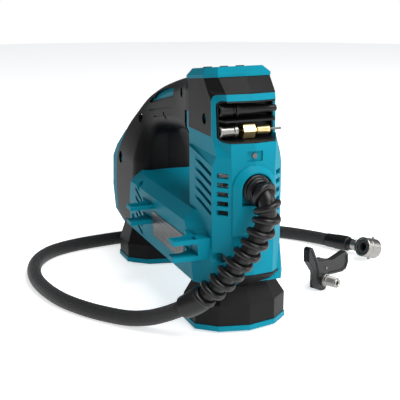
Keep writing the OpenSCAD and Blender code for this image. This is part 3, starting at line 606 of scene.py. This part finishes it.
for side, name, old in ((-1, "soft_grip_right", "grip_right"), (1, "soft_grip_left", "grip_left")):
    # The handle's rear screw hole ends on a boss
    hole_x, hole_z = HOLES[1][:2]
    boss = lathe([(0, 5.4), (1, 5.4)], 24, at=(hole_x, side * 11.6, hole_z), axis=(0, side, 0))
    piece(name, *merge(grip_half(side), boss), "soft_grip", "housing", replaces=(old,), angle=32,
          cuts=grip_cuts(side))
    front_x, front_z, front_r, front_y = HOLES[0]
    openings = [TRIGGER_SPACE, drill_y(front_x, front_z, front_r, side * 50, side * front_y)]
    piece(name.replace("soft_grip", "handle_shell"), *grip_half(side, SKIN + 0.1, SKIN + 1.3, SHELL_ROW),
          "teal_shell", "housing", angle=32, cuts=openings)

# ---------------------------------------------------------------- valve clip
CLIP_AT, CLIP_TURN = Vector((-30, 95, 0)), math.radians(26)
CLIP_X = Vector((math.cos(CLIP_TURN), math.sin(CLIP_TURN), 0))
CLIP_Y = Vector((-math.sin(CLIP_TURN), math.cos(CLIP_TURN), 0))


def clip_plate(points, x0, x1):
    """A plate across the clip's nozzle over points given as width and height."""
    return loft([[tuple(CLIP_AT + CLIP_X * x + CLIP_Y * y + Vector((0, 0, z))) for y, z in points]
                 for x in (x0, x1)])


def clip_rod(y, z, rows, sides=24):
    return lathe(rows, sides, at=CLIP_AT + CLIP_Y * y + Vector((0, 0, z)), axis=CLIP_X)


BODY_EDGE = [(-21.5, 30), (-21.8, 40), (-20.6, 41.6), (-18, 41.8), (-16, 40.2), (-9.6, 28.6), (-4, 27.2),
             (5, 26.2), (8, 24),
             (8, 18), (5.5, 14), (5.5, 5), (3.4, 0.4), (0, 0), (-3.6, 0.6), (-7.6, 5), (-9.6, 11),
             (-12.4, 19)]
BODY_DISH = [(-20, 31), (-20.2, 38.8), (-18.4, 39.8), (-10.6, 26.4), (-7.6, 18.4), (-8.4, 13), (-11.2, 20.4)]
LEVER_EDGE = [(-3, 0.4), (1, 0.4), (7, 5), (10, 9), (21, 7.4), (37, 5.6), (43, 7), (46, 13), (45, 20),
              (41, 23.6), (22, 20.4),
              (13, 22.4), (8, 25), (-1, 25), (-3, 20)]
LEVER_DISH = [(12, 11), (21.6, 9.4), (36.4, 7.8), (41.4, 9), (43.6, 13), (42.8, 19), (39.8, 21.2),
              (22, 18.4), (12.4, 19.6)]
piece("valve_clip_body", *clip_plate(BODY_EDGE, -6, 0), "black_plastic", "clip", replaces=("clip_body",),
      bevel=0.55,
      angle=35, cuts=[clip_plate(BODY_DISH, -0.9, 1), clip_rod(0, 9.5, [(-4.2, 3.1), (2, 3.1)]),
                      clip_rod(3, 19, [(-8, 1.55), (2, 1.55)])])
piece("valve_clip_lever", *clip_plate(LEVER_EDGE, -12.2, -6.3), "black_plastic", "clip_lever",
      replaces=("clip_lever",),
      bevel=0.55, angle=35, cuts=[clip_plate(LEVER_DISH, -7.2, -5),
                                    clip_rod(3, 19, [(-14, 1.58), (-5, 1.58)])])
rows = [(-4, 0.01), (-4, 3), (0.1, 3), (0.1, 5), (2.2, 5.2), (2.5, 4.4), (4, 4.4)]
for k in range(10):
    rows += [(4.2 + k * 0.92, 4.25), (4.55 + k * 0.92, 3.75), (4.8 + k * 0.92, 3.75)]
rows += [(13.6, 4.1), (14, 3.8), (14, 2.3), (13.4, 1.8), (5.5, 1.8), (5.2, 0.01)]
piece("valve_clip_nozzle", *clip_rod(0, 9.5, rows, 40), "nickel", "clip", replaces=("clip_nozzle",), angle=30)

# ---------------------------------------------------------------- chuck, ferrule and sleeve
MOUTH, CHUCK_AXIS = Vector((-83, 163, 15)), Vector((-0.2796, 0.9145, -0.2924))
CHUCK_PIN = Vector((0.0855, -0.2796, -0.9563))
END, END_AXIS = Vector((-134, 156.5, 7.6)), Vector((0.9025, 0.4287, 0.0451))
head = lathe([(10, 0.01), (10, 6.6), (0.9, 6.6), (0.35, 6.85), (0.3, 7.2), (1.1, 7.35), (1.1, 7.8),
              (0.25, 7.95), (0.25, 8.5),
              (0.8, 9), (5, 9), (5.3, 8.7), (6.1, 8.7), (6.4, 9), (17.3, 9), (19.4, 7.5), (19.6, 7),
              (19.6, 0.01)], 56,
             at=MOUTH, axis=CHUCK_AXIS)
pin = lathe([(0, 0.9), (0.3, 1.3), (20.7, 1.3), (21, 0.9)], 20,
            at=MOUTH + CHUCK_AXIS * 13 - CHUCK_PIN * 10.5, axis=CHUCK_PIN)
ferrule = lathe([(28, 4.6), (28.2, 5), (31, 5), (31.3, 5.5), (33.4, 5.5), (33.7, 4.9), (35, 4.9),
                 (35.3, 5.3), (47, 5)], 40,
                at=END, axis=END_AXIS)
piece("air_chuck", *merge(head, pin, ferrule), "nickel", "housing", replaces=("chuck_body",), angle=30)
piece("crimp_sleeve", *lathe([(-0.4, 6.02), (0, 6.5), (9.6, 6.7), (10, 7.05), (21, 7.15), (23.4, 6.8),
                              (24, 6.2), (24.2, 5.5),
                              (28, 5.4)], 44, at=END, axis=END_AXIS), "guard_rubber", "housing",
                              replaces=("hose_sleeve",),
      angle=30)

# ---------------------------------------------------------------- front boot, its lip over the tower's foot
FOOT_PLAN = [(1, 0), (0.83, 0.61), (0.42, 1), (-0.42, 1), (-0.83, 0.61), (-1, 0), (-0.83, -0.61),
             (-0.42, -1), (0.42, -1),
             (0.83, -0.61)]
TOWER_PLAN = [(36.5, 0), (33.4, 16.8), (22.3, 27.75), (-24.4, 27.75), (-25, 16), (-25, 0), (-25, -16),
              (-24.4, -27.75),
              (22.3, -27.75), (33.4, -16.8)]
boot = [[(cx + a * x, b * y, z) for x, y in FOOT_PLAN]
        for cx, a, b, z in ((0, 30, 36.7, 6.1), (0, 30, 36.7, 22), (-1, 24, 29.7, 34))]
boot += [[(x, y, z + 0.13 * x) for x, y in TOWER_PLAN] for z in (41.2, 42.5)]
piece("front_foot_boot", *loft(boot), "soft_grip", "housing", replaces=("front_boot",), bevel=0.3, angle=9)

# ---------------------------------------------------------------- rating plate, with plain bars and no words
marks = [box(-84, -10, -37.22, -36.7, 48, 68.5)]
for z0, z1 in ((48.4, 48.9), (67.6, 68.1)):
    marks.append(box(-83.4, -10.6, -37.34, -37.1, z0, z1))
for x0, x1 in ((-83.4, -82.9), (-11.1, -10.6)):
    marks.append(box(x0, x1, -37.34, -37.1, 48.9, 67.6))
for z in (52, 55.2, 58.4, 61.6, 64.8):
    marks.append(box(-79, -50 + 3 * math.sin(z), -37.34, -37.1, z - 0.5, z + 0.5))
    marks.append(box(-42, -20 + 4 * math.cos(z), -37.34, -37.1, z - 0.35, z + 0.35))
piece("rating_label", *merge(*marks), "plate", "housing", replaces=("rating_plate",), smooth=False)

EDGE, FACET_ANGLE = 0.35, 9
FACETED = {"housing_right", "housing_left", "head_wrap_right", "head_wrap_left", "display_cap", "rear_boot"}
for name, o in nodes.items():
    if not o.hide_render:
        crisp(o, EDGE, FACET_ANGLE if name in FACETED else 25)

# ---------------------------------------------------------------- floor
FLOOR_R, FLOOR_SIDES = 2.4, 48
floor_mesh = bpy.data.meshes.new("floor")
floor_mesh.from_pydata([(FLOOR_R * math.cos(2 * math.pi * k / FLOOR_SIDES),
                         FLOOR_R * math.sin(2 * math.pi * k / FLOOR_SIDES), 0)
                        for k in range(FLOOR_SIDES)], [], [tuple(range(FLOOR_SIDES))])
floor = bpy.data.objects.new("floor", floor_mesh)
scene.collection.objects.link(floor)
pale = material("pale_floor", (0.86, 0.86, 0.86), 0.6, vary=0.01, grain=80, bump=0.0, spec=0.2)
pale_shader = pale.node_tree.nodes["Principled BSDF"]
pale_shader.inputs["Emission Color"].default_value = (1, 1, 1, 1)
pale_shader.inputs["Emission Strength"].default_value = 0.62
dress(floor, pale)
